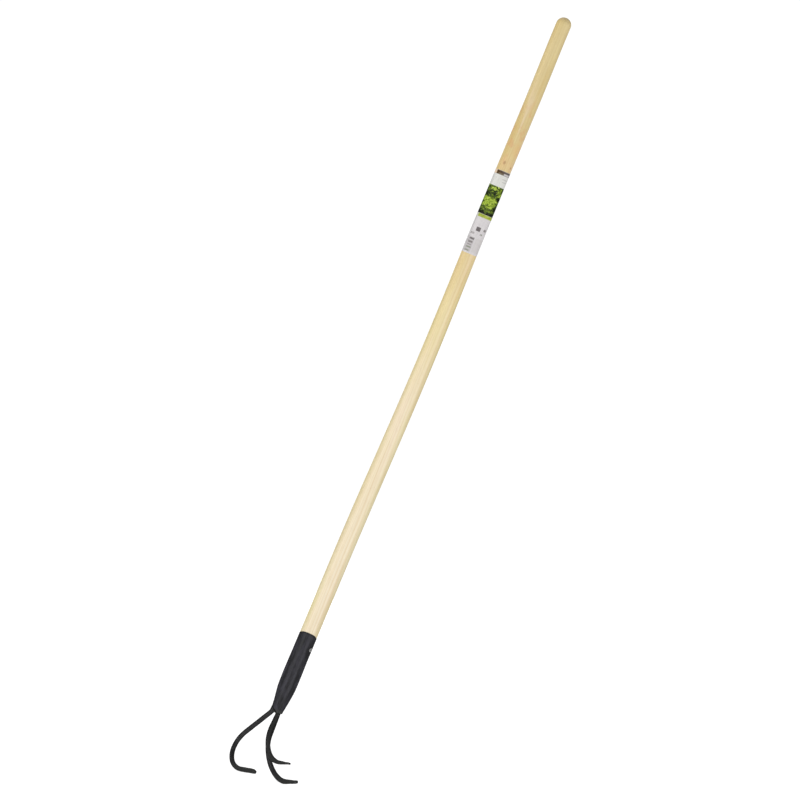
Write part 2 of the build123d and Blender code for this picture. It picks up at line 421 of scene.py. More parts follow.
def socket_paint_material():
    s = Shader("black_paint")
    z = s.parts(s.place)[2]
    mottle = s.noise((90, 90, 45), detail=3, roughness=0.6)
    peel = s.noise((1400, 1400, 1400), detail=2)
    dust = s.noise((500, 500, 160), detail=3, roughness=0.7, shift=4.0)
    scuffs = s.noise((260, 260, 30), detail=4, roughness=0.7, shift=9.0)
    streaks = s.noise((230, 230, 28), detail=3, roughness=0.6, shift=6.0)
    tone = s.plus(s.times(mottle, 0.5), s.times(streaks, 0.5))
    colour = s.mix(s.spread(tone, 0.40, 0.62), (0.017, 0.017, 0.019), (0.037, 0.036, 0.046))
    # Dull grey over the weld metal round the end of the nose
    wrapped = s.times(s.window(z, -0.1392, -0.1335, 0.0015), s.spread(mottle, 0.25, 0.5))
    colour = s.mix(s.times(wrapped, 0.6), colour, (0.050, 0.053, 0.045))
    colour = s.mix(s.spread(dust, 0.62, 0.78, 0.0, 0.35), colour, (0.060, 0.060, 0.062))
    colour = s.mix(s.spread(scuffs, 0.66, 0.72, 0.0, 0.5), colour, (0.085, 0.085, 0.088))
    # Darker under the slanted mouth, with a thin rubbed line on its lip
    lean = MOUTH_RISE / SOCKET_R * level(MOUTH_HIGH_SIDE)
    below_mouth = s.minus(s.vector("DOT_PRODUCT", s.place, lean), z)
    chips = s.noise((600, 600, 600), detail=2, roughness=0.7, shift=2.0)
    rim = s.times(s.spread(below_mouth, 0.0045, 0.0015), 0.6)
    colour = s.mix(rim, colour, (0.010, 0.010, 0.009))
    rubbed = s.times(s.spread(below_mouth, 0.0009, 0.0002), s.spread(chips, 0.47, 0.60))
    colour = s.mix(s.times(rubbed, 0.7), colour, (0.17, 0.165, 0.16))
    s.set(base_color=colour, roughness=s.spread(mottle, 0.3, 0.7, 0.38, 0.52))
    s.set(specular_ior_level=0.26)
    s.bump(s.plus(s.times(peel, 0.4), mottle), 0.00012)
    return s.material


def tine_paint_material():
    """The same paint, thinner and blacker over forged rod, rubbed grey at the ends."""
    s = Shader("black_paint_on_rod")
    x, y, z = s.parts(s.place)
    mottle = s.noise((140, 140, 90), detail=3, roughness=0.6, shift=1.0)
    scale = s.noise((700, 700, 700), detail=3, roughness=0.65, shift=5.0)
    rubbed = s.noise((420, 420, 420), detail=3, roughness=0.7, shift=8.0)
    colour = s.mix(s.spread(mottle, 0.35, 0.7), (0.013, 0.013, 0.014), (0.024, 0.024, 0.025))
    # Painted shade on the middle and right tines below the nose, where they lie in shade between
    # the parts; the left tine gets almost none. The same mask makes them duller
    painted_shade_below_nose = s.times(s.window(z, -0.190, -0.120, 0.010), s.spread(y, -0.010, -0.003, 0.05, 0.95))
    colour = s.mix(painted_shade_below_nose, colour, (0.004, 0.004, 0.004))
    ends = s.spread(x, -0.010, 0.030)
    colour = s.mix(s.times(ends, 0.55), colour, (0.037, 0.038, 0.036))
    wear = s.times(s.spread(rubbed, 0.60, 0.72), s.spread(x, 0.030, 0.075, 0.12, 0.8))
    colour = s.mix(wear, colour, (0.090, 0.088, 0.082))
    gloss = s.spread(mottle, 0.3, 0.7, 0.26, 0.40)
    s.set(base_color=colour, roughness=s.plus(gloss, s.times(painted_shade_below_nose, 0.3)))
    s.set(specular_ior_level=0.27)
    s.bump(s.plus(s.times(scale, 0.3), mottle), 0.00010)
    return s.material


def bead_material():
    """Thin dark paint on the weld beads, made very dark as painted shade in the crevice between the
    sheet's edge and the rods.
    """
    s = Shader("black_paint_on_bead")
    ripple = s.noise((700, 700, 900), detail=3, roughness=0.6)
    colour = s.mix(s.spread(ripple, 0.45, 0.75), (0.005, 0.005, 0.005), (0.022, 0.021, 0.020))
    # Less painted shade where the edge is highest
    high = s.spread(s.parts(s.place)[2], -0.1345, -0.1325, 0.0, 0.8)
    colour = s.mix(high, colour, (0.018, 0.018, 0.020))
    s.set(base_color=colour, roughness=s.spread(ripple, 0.3, 0.7, 0.55, 0.75))
    s.set(specular_ior_level=0.06)
    s.bump(ripple, 0.0003)
    return s.material


def weld_material():
    """The same paint over weld metal, with grains of spatter under it."""
    s = Shader("black_paint_on_weld")
    ripple = s.noise((700, 700, 900), detail=3, roughness=0.6)
    spatter = s.spread(s.cells((650, 650, 650)), 0.30, 0.12)
    colour = s.mix(s.spread(ripple, 0.35, 0.7), (0.020, 0.021, 0.018), (0.056, 0.058, 0.048))
    s.set(base_color=colour, roughness=s.spread(ripple, 0.3, 0.7, 0.45, 0.65))
    s.set(specular_ior_level=0.25)
    s.bump(s.plus(ripple, s.times(spatter, 0.8)), 0.0003)
    return s.material


def screw_material():
    s = Shader("screw_steel")
    scuff = s.noise((2500, 2500, 2500), detail=3, roughness=0.65)
    colour = s.mix(s.spread(scuff, 0.4, 0.7), (0.80, 0.80, 0.79), (0.58, 0.57, 0.55))
    s.set(base_color=colour, metallic=0.6, roughness=s.spread(scuff, 0.3, 0.7, 0.30, 0.44))
    s.bump(scuff, 0.00003)
    return s.material


class Print(Shader):
    """The label's print, laid out in degrees round the paper and in metres up it."""

    def __init__(self, name):
        super().__init__(name)
        self.up = self.parts(self.place)[2]
        # The paper is wrapped round the bowed handle, whose centre runs off the axis here
        climb = (bow(LABEL_TOP) - bow(LABEL_BOTTOM)) / (LABEL_TOP - LABEL_BOTTOM)
        base = (bow(LABEL_BOTTOM) - climb * LABEL_BOTTOM) * MM
        offset = self.plus(self.times(self.up, climb), base)
        side, front = level(BOW_SIDE), toward_camera(CAMERA_AZIMUTH)
        across = self.minus(self.vector("DOT_PRODUCT", self.place, side), offset)
        ahead = self.vector("DOT_PRODUCT", self.place, front)
        turn = self.math("ARCTAN2", across, ahead)
        self.turn = self.times(turn, math.degrees(1.0))
        self.flat = self.join(self.times(turn, GRIP_R * MM), self.up, 0.0)

    def block(self, left, right, low, high, soft_turn=1.5, soft_up=0.0005):
        """Share of ink in a rectangle of the print: degrees, then millimetres. Its soft edges
        are in degrees and in metres."""
        wide = self.window(self.turn, left, right, soft_turn)
        return self.times(wide, self.window(self.up, low * MM, high * MM, soft_up))


ALL_ROUND = (-190, 190)  # degrees, past the half turn so that no seam shows there
# Light and shade in the picture of leaves: left and right in degrees, bottom and top in
# millimetres, and how much lighter the patch is
LEAF_PATCHES = (
    (-60, 46, 765.5, 782.0, 0.27),
    (-82, -22, 786.0, 791.5, -0.26),
    (-21, 14, 795.0, 801.0, 0.44),
    (12, 28, 797.0, 802.5, -0.22),
    (-4, 24, 788.0, 794.5, -0.16),
    (25, 62, 788.0, 800.5, 0.14),
    (64, 120, 792.0, 802.5, -0.26),
    (40, 84, 786.5, 790.5, 0.26),
    (42, 120, 778.0, 785.0, -0.26),
    (26, 120, 761.0, 771.0, -0.26),
    (-26, 8, 766.0, 769.0, -0.17),
    (-4, 24, 763.5, 766.5, 0.22),
    (-180, 180, 750.0, 757.5, -0.33),
    (-22, 26, 754.0, 758.0, 0.26),
    (-180, -84, 750.0, 803.0, -0.12),
)
INK = (0.080, 0.066, 0.070)
FAINT = (0.24, 0.22, 0.215)
OLIVE = (0.21, 0.235, 0.17)
# Plain printed marks: left, right, bottom, top, ink and how strong it is
MARKS = (
    (18, 80, 815.5, 817.0, FAINT, 0.35),
    (24, 88, 811.0, 812.4, FAINT, 0.35),
    (-62, -4, 686.0, 711.5, FAINT, 0.30),
    (6, 74, 687.0, 711.0, (0.54, 0.51, 0.49), 0.45),
    (-21, 11, 722.6, 729.6, INK, 0.9),
    (-3, 5, 725.6, 728.4, FAINT, 0.5),
    (36, 62, 725.0, 729.0, FAINT, 0.9),
    (20, 26, 717.4, 720.1, INK, 0.7),
    (29, 38, 717.4, 720.1, OLIVE, 0.9),
    (-58, -22, 716.0, 719.5, FAINT, 0.6),
    (-44, -7, 706.9, 710.0, INK, 0.82),
    (-46, -10, 701.0, 704.6, FAINT, 1.0),
    (-46, -12, 696.9, 699.0, FAINT, 0.8),
    (-46, -8, 692.4, 695.0, OLIVE, 0.85),
    (-50, -14, 686.8, 689.4, OLIVE, 0.75),
)


def leaf_picture(s):
    """Colour of the foliage: noise in two sizes, steered by the patches."""
    leaves = s.noise((230, 330, 1), detail=2, roughness=0.6, distortion=0.5, at=s.flat)
    sprigs = s.noise((430, 760, 1), detail=3, roughness=0.65, at=s.flat, shift=6.0)
    shade = s.minus(s.plus(s.times(leaves, 0.85), s.times(sprigs, 1.15)), 0.525)
    # Ragged outlines: the patches are laid out in coordinates that waver
    ragged = [s.noise((170, 240, 1), detail=3, roughness=0.6, at=s.flat, shift=n) for n in (9, 15)]
    turn = s.plus(s.turn, s.times(s.minus(ragged[0], 0.5), 110.0))
    up = s.plus(s.up, s.times(s.minus(ragged[1], 0.5), 0.014))
    for left, right, low, high, lift in LEAF_PATCHES:
        wide = s.window(turn, left, right, 8)
        patch = s.times(wide, s.window(up, low * MM, high * MM, 0.0014))
        shade = s.plus(shade, s.times(patch, lift))
    return s.ramp(
        shade,
        (0.24, (0.006, 0.009, 0.001)),
        (0.42, (0.030, 0.058, 0.005)),
        (0.58, (0.115, 0.175, 0.012)),
        (0.76, (0.330, 0.470, 0.026)),
        (1.0, (0.540, 0.660, 0.150)),
    )


def paper_material():
    s = Print("label_paper")
    fibre = s.noise((900, 900, 500), detail=3, roughness=0.6)
    smear = s.noise((160, 160, 420), detail=2, shift=2.0)
    # Bare paper: warmer and brighter above the picture, a lilac grey below it
    paper = s.mix(s.spread(s.up, 0.749, 0.753), (0.64, 0.61, 0.62), (0.69, 0.69, 0.65))
    # Painted shade on the left limb, greyer over the stretch round the overlap
    painted_limb_shade = s.window(s.turn, -120, -52, 16)
    paper = s.mix(s.times(painted_limb_shade, 0.45), paper, (0.46, 0.45, 0.45))
    colour = s.mix(s.spread(smear, 0.45, 0.75, 0.0, 0.35), paper, (0.74, 0.73, 0.71))
    # Head band, brown to grey, with a peach end and a tan and a pale bar in its lower half
    band = s.mix(s.window(s.turn, 11, 130, 49), (0.080, 0.040, 0.009), (0.13, 0.115, 0.110))
    colour = s.mix(s.block(*ALL_ROUND, 822.4, 829.2), colour, band)
    colour = s.mix(s.block(-96, -47, 822.4, 830.5), colour, (0.72, 0.56, 0.40))
    tan_bar = s.times(s.block(-28, 14, 822.6, 825.2, 5), 0.6)
    colour = s.mix(tan_bar, colour, (0.24, 0.20, 0.13))
    colour = s.mix(s.block(16, 70, 822.9, 825.8, 4), colour, (0.56, 0.53, 0.53))
    colour = s.mix(s.block(*ALL_ROUND, 752.0, 802.5), colour, leaf_picture(s))
    # Strip under the picture, with a gap in it before the overlap
    strip = s.mix(s.spread(smear, 0.35, 0.7), (0.30, 0.37, 0.030), (0.46, 0.52, 0.10))
    printed = s.minus(1.0, s.window(s.turn, -82, -56, 8))
    colour = s.mix(s.times(printed, s.block(*ALL_ROUND, 746.3, 751.7)), colour, strip)
    for left, right, low, high, tint, strength in MARKS:
        share = s.times(s.block(left, right, low, high, 3, 0.0008), strength)
        colour = s.mix(share, colour, tint)
    colour = s.mix(s.spread(fibre, 0.5, 0.8, 0.0, 0.12), colour, (0.45, 0.44, 0.42))
    s.set(base_color=colour, roughness=s.spread(smear, 0.3, 0.7, 0.40, 0.52))
    s.set(specular_ior_level=0.18)
    s.bump(s.plus(s.times(fibre, 0.4), smear), 0.00005)
    return s.material


# ---- Mesh building: rings of points in millimetres ----
def tube_faces(rings, count):
    """Side faces between rings of count points each."""
    faces = []
    for r in range(rings - 1):
        for i in range(count):
            j = (i + 1) % count
            faces.append((r * count + i, r * count + j, (r + 1) * count + j, (r + 1) * count + i))
    return faces


def closed_tube(rings):
    """Vertices and faces of a closed tube through the rings, with a fan over each end."""
    count = len(rings[0])
    vertices = [point for ring in rings for point in ring]
    faces = tube_faces(len(rings), count)
    for ring, start in ((rings[0], 0), (rings[-1], count * (len(rings) - 1))):
        hub = len(vertices)
        vertices.append(sum(ring, Vector()) / count)
        for i in range(count):
            edge = (start + i, start + (i + 1) % count)
            faces.append((*(edge if start else reversed(edge)), hub))
    return vertices, faces


def joined(*shells):
    """Several closed shells as one list of vertices and one of faces."""
    vertices, faces = [], []
    for shell_vertices, shell_faces in shells:
        base = len(vertices)
        vertices += shell_vertices
        faces += [tuple(base + i for i in face) for face in shell_faces]
    return vertices, faces


def make_piece(name, shell, material, node, sharp=40):
    vertices, faces = shell
    mesh = bpy.data.meshes.new(name)
    mesh.from_pydata([Vector(v) * MM for v in vertices], [], faces)
    mesh.validate()
    mesh.polygons.foreach_set("use_smooth", [True] * len(mesh.polygons))
    mesh.set_sharp_from_angle(angle=math.radians(sharp))
    mesh.materials.append(material)
    piece = bpy.data.objects.new(name, mesh)
    bpy.context.scene.collection.objects.link(piece)
    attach(piece, "root")
    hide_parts(node)


def lumps(point, size, seed):
    """Smooth unevenness from -1 to 1, with lumps of about this size."""
    return noise.noise(Vector(point) / size + Vector((seed, 2 * seed, 3 * seed)))


def mouth_lift(point):
    """Height of the slanted mouth above or below z = 0 at a point round the handle."""
    across = point.dot(level(BOW_SIDE)) / point.length
    dip = MOUTH_DIP if across > 0 else MOUTH_FAR_DIP
    dip *= soft_step(abs(across), 0.55, 1.1)
    return MOUTH_RISE / SOCKET_R * point.dot(level(MOUTH_HIGH_SIDE)) - dip


# ---- Handle ----
def handle_ring(z, radius, slant=0.0, count=72):
    """Ring round the bowed handle. Slant 1 lies in the plane of the mouth."""
    ring = []
    for i in range(count):
        out = level(360 * i / count)
        waver = 0.06 * lumps(out * radius + Vector((0, 0, z * 0.12)), 11.0, 3.1)
        point = out * (radius + waver) + level(BOW_SIDE) * bow(z)
        point.z = z + slant * mouth_lift(out * radius)
        ring.append(point)
    return ring


def make_handle(material):
    rings = [
        handle_ring(TENON_BOTTOM, TENON_END_R - 1),
        handle_ring(TENON_BOTTOM + 1, TENON_END_R),
        handle_ring(TENON_TAPER, BORE_R),
        handle_ring(-MOUTH_EASE, BORE_R),
        # Shoulder against the socket's mouth, with its corner just taken off
        handle_ring(0, BORE_R, slant=1),
        handle_ring(0, LOWER_R - 0.25, slant=1),
        handle_ring(0.3, LOWER_R, slant=1),
        handle_ring(4, LOWER_R, slant=0.9),
    ]
    dome = HANDLE_TOP - GRIP_R
    rings += [handle_ring(z, handle_radius(z)) for z in np.arange(MOUTH_EASE, dome, 9.0)]
    # Rounded end
    for angle in range(0, 88, 6):
        a = math.radians(angle)
        rings.append(handle_ring(dome + GRIP_R * math.sin(a), GRIP_R * math.cos(a)))
    make_piece("handle_wood", closed_tube(rings), material, "handle", sharp=50)


# ---- Label: one sheet of paper wrapped round with its ends overlapping ----
def make_label(material, start=-72.0, overlap=14.0, thickness=0.11, rows=75, columns=110):
    clearance, lap_gap = 0.10, 0.03
    outer, inner = [], []
    sweep = 360 + overlap
    for r in range(rows):
        z = LABEL_BOTTOM + (LABEL_TOP - LABEL_BOTTOM) * r / (rows - 1)
        # The end that lies on top was cut a little askew
        skew = 2.2 * (z - LABEL_BOTTOM) / (LABEL_TOP - LABEL_BOTTOM)
        for c in range(columns):
            along = (sweep - skew) * c / (columns - 1)
            on_top = soft_step(along, 360 - 6, 360 - skew)
            out = level(CAMERA_AZIMUTH - 90 + start - along + sweep)
            crease = 0.05 * lumps(out * GRIP_R + Vector((0, 0, z * 0.5)), 6.0, 8.3)
            gap = clearance + max(crease, -0.03) + on_top * (thickness + lap_gap)
            base = level(BOW_SIDE) * bow(z) + Vector((0, 0, z))
            radius = handle_radius(z) + gap
            inner.append(base + out * radius)
            outer.append(base + out * (radius + thickness))
    vertices = outer + inner
    total = rows * columns
    faces = []
    for r in range(rows - 1):
        for c in range(columns - 1):
            a, b = r * columns + c, r * columns + c + 1
            d, e = b + columns, a + columns
            faces += [(a, b, d, e), (total + e, total + d, total + b, total + a)]
    # The cut edge, once round the sheet
    edge = [(0, c) for c in range(columns)]
    edge += [(r, columns - 1) for r in range(1, rows)]
    edge += [(rows - 1, c) for c in range(columns - 2, -1, -1)]
    edge += [(r, 0) for r in range(rows - 2, 0, -1)]
    around = [r * columns + c for r, c in edge]
    for a, b in zip(around, around[1:] + around[:1]):
        faces.append((b, a, total + a, total + b))
    make_piece("label_paper", (vertices, faces), material, "label", sharp=50)


# ---- Socket ----
def nose_radius(z):
    """Radius of the socket's outside: a barrel that turns softly into a cone."""
    below = NOSE_KNEE - z
    return SOCKET_R - NOSE_SLOPE * (below + math.hypot(below, KNEE_SOFTNESS)) / 2


def nose_centre(z):
    """The nose stands a little forward of the handle's axis."""
    return Vector((NOSE_FORWARD * soft_step(-z, 40, 150), 0, 0))


def nose_edge(angle):
    """Height of the lower edge: cut away on both sides, where the outer tines come out."""
    aside = math.cos(math.radians(abs(angle) - NOTCH_SIDE)) + 0.05
    before_seam = 1 - soft_step(abs(angle), 138, 172)
    return NOSE_END + NOTCH_RISE * max(aside, 0.0) * before_seam


def socket_point(angle, down, inset):
    """Point of the socket's sheet: down runs from 0 at the mouth to 1 at the lower edge."""
    out = level(angle)
    lower = nose_edge(angle)
    upper = mouth_lift(out * SOCKET_R)
    z = upper * (1 - down) + lower * down
    radius = nose_radius(z) + SHEET_PROUD
    radius += BARREL_SWELL * soft_step(-z, 25, 70) * soft_step(z, -140, -118)
    # The sheet swells over the outer tines where they come out
    from_tine = (abs(angle) - TINE_SIDE) / TINE_SPAN
    radius += TINE_SWELL * math.exp(-(from_tine**2)) * soft_step(-z, 117, 129)
    # It is drawn in round the screw
    place = out * radius + Vector((0, 0, z))
    screw = level(SCREW_SIDE) * SOCKET_R + Vector((0, 0, SCREW_Z))
    radius -= DIMPLE_DEPTH * math.exp(-(((place - screw).length / DIMPLE_R) ** 4))
    if not inset:
        radius += WAVINESS * lumps(place, 16.0, 5.0)
        # Dents and folds where the nose was hammered closed round the tines
        dents = DENT_DEPTH * lumps(place, 6.5, 1.7) + FINE_DENT_DEPTH * lumps(place, 2.6, 4.2)
        fold = soft_step(math.cos(math.radians(FOLD_COUNT * angle + FOLD_TURN)), 0.2, 1.0)
        dents -= FOLD_DEPTH * fold * (0.6 + 0.8 * lumps(place, 9.0, 2.4))
        radius += dents * soft_step(-z, 108, 126)
        # Both edges of the seam turn in a little, and one side of it stands proud
        from_seam = math.radians(180 - abs(angle)) * radius
        radius -= SEAM_TURN_IN * math.exp(-((from_seam / SEAM_ROUND) ** 2))
        if angle > 150:
            radius += SEAM_STEP
        # Rounded lips at the mouth and at the lower edge
        edge = min(upper - z, z - lower)
        if edge < LIP_HEIGHT:
            radius -= LIP_DROP * (1 - edge / LIP_HEIGHT) ** 2
    return out * (radius - inset) + nose_centre(z) + Vector((0, 0, z))


def make_socket(material, around=180):
    """A C-shaped loop of points, outside then inside, at each step from the mouth down."""
    half_gap = math.degrees(SEAM_GAP / 2 / SOCKET_R)
    angles = [-180 + half_gap + (360 - 2 * half_gap) * i / (around - 1) for i in range(around)]
    steps = [0.0, 0.0015, 0.004]
    steps += [0.004 + 0.99 * i / 120 for i in range(1, 121)] + [0.9975, 1.0]
    rings = []
    for down in steps:
        ring = [socket_point(a, down, 0.0) for a in angles]
        ring += [socket_point(a, down, WALL) for a in reversed(angles)]
        rings.append(ring)
    count = 2 * around
    vertices = [point for ring in rings for point in ring]
    faces = [tuple(reversed(face)) for face in tube_faces(len(rings), count)]
    last = count * (len(rings) - 1)
    for i in range(around - 1):
        inside, next_inside = count - 1 - i, count - 2 - i
        faces.append((i, i + 1, next_inside, inside))
        faces.append((last + inside, last + next_inside, last + i + 1, last + i))
    make_piece("socket_sheet", (vertices, faces), material, "socket", sharp=55)


# ---- Tines ----
def rounded_route(corners, radii, step=1.1):
    """Points along straight runs joined by arcs, as (place, heading) pairs."""
    route = []
    start = corners[0]
    for before, corner, after, radius in zip(corners, corners[1:], corners[2:], radii):
        come, leave = (corner - before).normalized(), (after - corner).normalized()
        turn = come.angle(leave)
        back = radius * math.tan(turn / 2)
        entry = corner - come * back
        run = (entry - start).length
        route += [(start + come * t, come) for t in np.arange(0, run, step)]
        inward = (leave - come * come.dot(leave)).normalized()
        hub = entry + inward * radius
        for angle in np.arange(0, turn, step / radius):
            place = hub - inward * radius * math.cos(angle) + come * radius * math.sin(angle)
            route.append((place, come * math.cos(angle) + inward * math.sin(angle)))
        start = corner + leave * back
    length = (corners[-1] - start).length
    ahead = (corners[-1] - start).normalized()
    route += [(start + ahead * t, ahead) for t in np.arange(0, length, step / 2)]
    route.append((corners[-1], ahead))
    return route


def bend_corners(nose, lean, drop, radius, rise, tip, plane_x, plane_up):
    """The corner where the shank's and the tip's lines meet, and the end of the tip."""
    down = (-plane_up * math.cos(lean) - plane_x * math.sin(lean)).normalized()
    shank_end = nose + down * (drop / math.cos(lean))
    climb = plane_x * math.cos(rise) + plane_up * math.sin(rise)
    reach = radius * math.tan(down.angle(climb) / 2)
    corner = shank_end + down * reach
    return corner, corner + climb * (reach + tip)


def tine_shell(route, across, widths, seed, count=30):
    """Forged rod along a route. Widths: (distance back from the end, half width,
    half thickness, squareness), from the end upwards."""
    points = [place for place, heading in route]
    lengths = np.cumsum([0.0] + [(b - a).length for a, b in zip(points, points[1:])])
    from_end = lengths[-1] - lengths
    keys = np.array([key[0] for key in widths])
    rings = []
    for (place, heading), back in zip(route, from_end):
        wide, thick, square = (np.interp(back, keys, [key[k] for key in widths]) for k in (1, 2, 3))
        flat = (across - heading * heading.dot(across)).normalized()
        upright = heading.cross(flat)
        # The edge of the blunt end is worn round
        worn = 0.82 + 0.18 * math.sqrt(1 - (1 - min(back, 1.0)) ** 2)
        ring = []
        for i in range(count):
            a = FULL_TURN * i / count
            c, n = math.cos(a), math.sin(a)
            x = math.copysign(abs(c) ** (2 / square), c) * wide * worn
            y = math.copysign(abs(n) ** (2 / square), n) * thick * worn
            out = flat * x + upright * y
            forged = 1 + 2 * soft_step(FORGED_FROM - back, 0, FORGED_OVER)
            rough = 0.088 * forged * lumps(place + out, 7.0, seed)
            rough += 0.048 * lumps(place + out, 2.2, seed)
            ring.append(place + out * (1 + rough / ROD_R))
        rings.append(ring)
    # The end face is a little crowned
    centre, heading = route[-1]
    rim = rings[-1]
    for share, crown in ((0.65, 0.25), (0.3, 0.35)):
        rings.append([centre + (p - centre) * share + heading * crown for p in rim])
    return closed_tube(rings)


RIGHT_WIDTHS = (
    (0.0, 4.4, 2.6, 4.0),
    (5.5, 5.0, 2.75, 3.8),
    (13.0, 5.3, 2.85, 3.4),
    (23.0, 4.9, 3.45, 2.8),
    (36.0, 4.4, 4.3, 2.2),
    (60.0, 4.4, 4.5, 2.1),
    (85.0, 4.3, 4.4, 2.0),
    (105.0, ROD_R, ROD_R, 2.0),
)
LEFT_WIDTHS = (
    (0.0, 4.4, 2.8, 4.0),
    (5.5, 5.0, 3.05, 3.8),
    (13.0, 5.3, 3.25, 3.4),
    (22.0, 4.8, 3.6, 2.8),
    (34.0, ROD_R, ROD_R, 2.1),
)
MIDDLE_WIDTHS = (
    (0.0, 4.5, 1.75, 4.0),
    (4.0, 4.8, 1.75, 3.6),
    (10.0, 4.9, 2.1, 3.0),
    (18.0, 4.7, 2.8, 2.8),
    (27.0, 4.4, 3.4, 2.5),
    (40.0, ROD_R, ROD_R, 2.1),
)
# Tilt outwards, lean back of the shank and rise of the tip in degrees, then the shank's drop
# below the nose, the radius of the bend and the length of the straight tip
OUTER_TINES = {
    "right_tine": dict(
        side=1, tilt=21.0, lean=21.4, rise=19.9, drop=49.4, radius=45.6, tip=33.0,
        widths=RIGHT_WIDTHS, seed=1.3,
    ),
    "left_tine": dict(
        side=-1, tilt=21.3, lean=19.95, rise=17.1, drop=54.0, radius=42.4, tip=32.4,
        widths=LEFT_WIDTHS, seed=4.9,
    ),
}


def outer_entry(side, tilt, lean):
    """Where an outer tine's shank starts inside the nose, and its small bend below the nose."""
    up = Vector((0, -side * math.sin(tilt), math.cos(tilt)))
    nose = Vector((OUTER_NOSE[0], side * OUTER_NOSE[1], NOSE_END))
    crank = nose - up * CRANK_DROP - Vector((math.tan(lean) * CRANK_DROP, 0, 0))
    return Vector((OUTER_TOP[0], side * OUTER_TOP[1], SHANK_TOP)), crank, nose, up


def make_outer_tine(name, material, side, tilt, lean, rise, drop, radius, tip, widths, seed):
    """Make the piece, and return two points of its straight shank."""
    tilt, lean, rise = (math.radians(a) for a in (tilt, lean, rise))
    top, crank, nose, up = outer_entry(side, tilt, lean)
    forward = Vector((1, 0, 0))
    corner, end = bend_corners(nose, lean, drop, radius, rise, tip, forward, up)
    route = rounded_route([top, crank, corner, end], [CRANK_R, radius])
    shell = tine_shell(route, up.cross(forward), widths, seed)
    make_piece(name + "_forged", shell, material, name)
    return top, crank


def make_middle_tine(material, lean=5.1, rise=17.8, drop=24.4, radius=42.1, tip=24.4, seed=7.7):
    """Make the piece, and return two points of its straight shank."""
    lean, rise = math.radians(lean), math.radians(rise)
    forward, up = Vector((1, 0, 0)), Vector((0, 0, 1))
    nose = Vector((MIDDLE_NOSE_X, 0, NOSE_END))
    top = nose + Vector((math.tan(lean), 0, 1)) * (SHANK_TOP - NOSE_END)
    corner, end = bend_corners(nose, lean, drop, radius, rise, tip, forward, up)
    route = rounded_route([top, corner, end], [radius])
    shell = tine_shell(route, up.cross(forward), MIDDLE_WIDTHS, seed)
    make_piece("middle_tine_forged", shell, material, "middle_tine")
    return top, nose


# ---- Welds ----
def point_at_height(line, z):
    """Where a straight shank, given by two of its points, crosses height z."""
    a, b = line
    return a + (b - a) * ((z - a.z) / (b.z - a.z))


def edge_bead(side, line, first=44, last=166, count=16):
    """Bead along the cut-away edge on one side of the nose, over the tine that comes out."""
    path = []
    for angle in np.arange(first, last, 2.0):
        z = nose_edge(angle) - 0.3
        out = level(side * angle)
        rod = point_at_height(line, z) - nose_centre(z) - Vector((0, 0, z))
        # Lie against the inside of the sheet, or on the rod where that stands further out
        ahead = out.dot(rod)
        beside = (rod - out * ahead).length
        radius = nose_radius(z) - 0.7
        if beside < ROD_R:
            radius = max(radius, ahead - BEAD_SINK + math.sqrt(ROD_R**2 - beside**2))
        path.append(nose_centre(z) + out * radius + Vector((0, 0, z)))
    rings = []
    travelled = 0.0
    for i, place in enumerate(path):
        before, after = path[max(i - 1, 0)], path[min(i + 1, len(path) - 1)]
        heading = (after - before).normalized()
        travelled += (place - before).length
        across = heading.cross(Vector((0, 0, 1))).normalized()
        upright = across.cross(heading)
        end_taper = math.sqrt(min(1.0, (min(i, len(path) - 1 - i) + 0.4) / 3))
        size = end_taper * (BEAD_R + 0.14 * math.cos(FULL_TURN * travelled / BEAD_PITCH))
        size *= 1 + 0.25 * lumps(place, 3.0, 6.6)
        turns = (FULL_TURN * k / count for k in range(count))
        rings.append(
            [place + (across * math.cos(a) + upright * math.sin(a) * 1.1) * size for a in turns]
        )
    return closed_tube(rings)


def nose_fill(lines, radius=7.6, rings=26, count=72, crown=1.3, depth=9.0, fillet=1.5):
    """Weld metal that plugs the nose and climbs a little way down each rod."""
    centre = nose_centre(NOSE_END) + Vector((0, 0, NOSE_END))
    plug = [Vector((0, 0, depth))]
    for height in (depth, 6.0, 3.0):
        wide = radius + NOSE_SLOPE * height - 0.15
        plug += [level(360 * i / count) * wide + Vector((0, 0, height)) for i in range(count)]
    vertices = [centre + point for point in plug]
    for r in range(rings):
        share = 1 - r / rings
        for i in range(count):
            place = centre + level(360 * i / count) * radius * share
            nearest = min((place - point_at_height(line, NOSE_END)).length for line in lines)
            climb = fillet * math.exp(-max(nearest - ROD_R, 0.0) / 0.8)
            dome = crown * (1 - share**4) + climb * (1 - share**6)
            place.z -= dome * (1 + 0.35 * lumps(place, 2.6, 9.4))
            vertices.append(place)
    vertices.append(centre - Vector((0, 0, crown)))
    faces = [(0, 1 + i, 1 + (i + 1) % count) for i in range(count)]
    faces += [tuple(1 + k for k in reversed(face)) for face in tube_faces(rings + 3, count)]
    last = 1 + (rings + 2) * count
    faces += [(last + (i + 1) % count, last + i, len(vertices) - 1) for i in range(count)]
    return vertices, faces


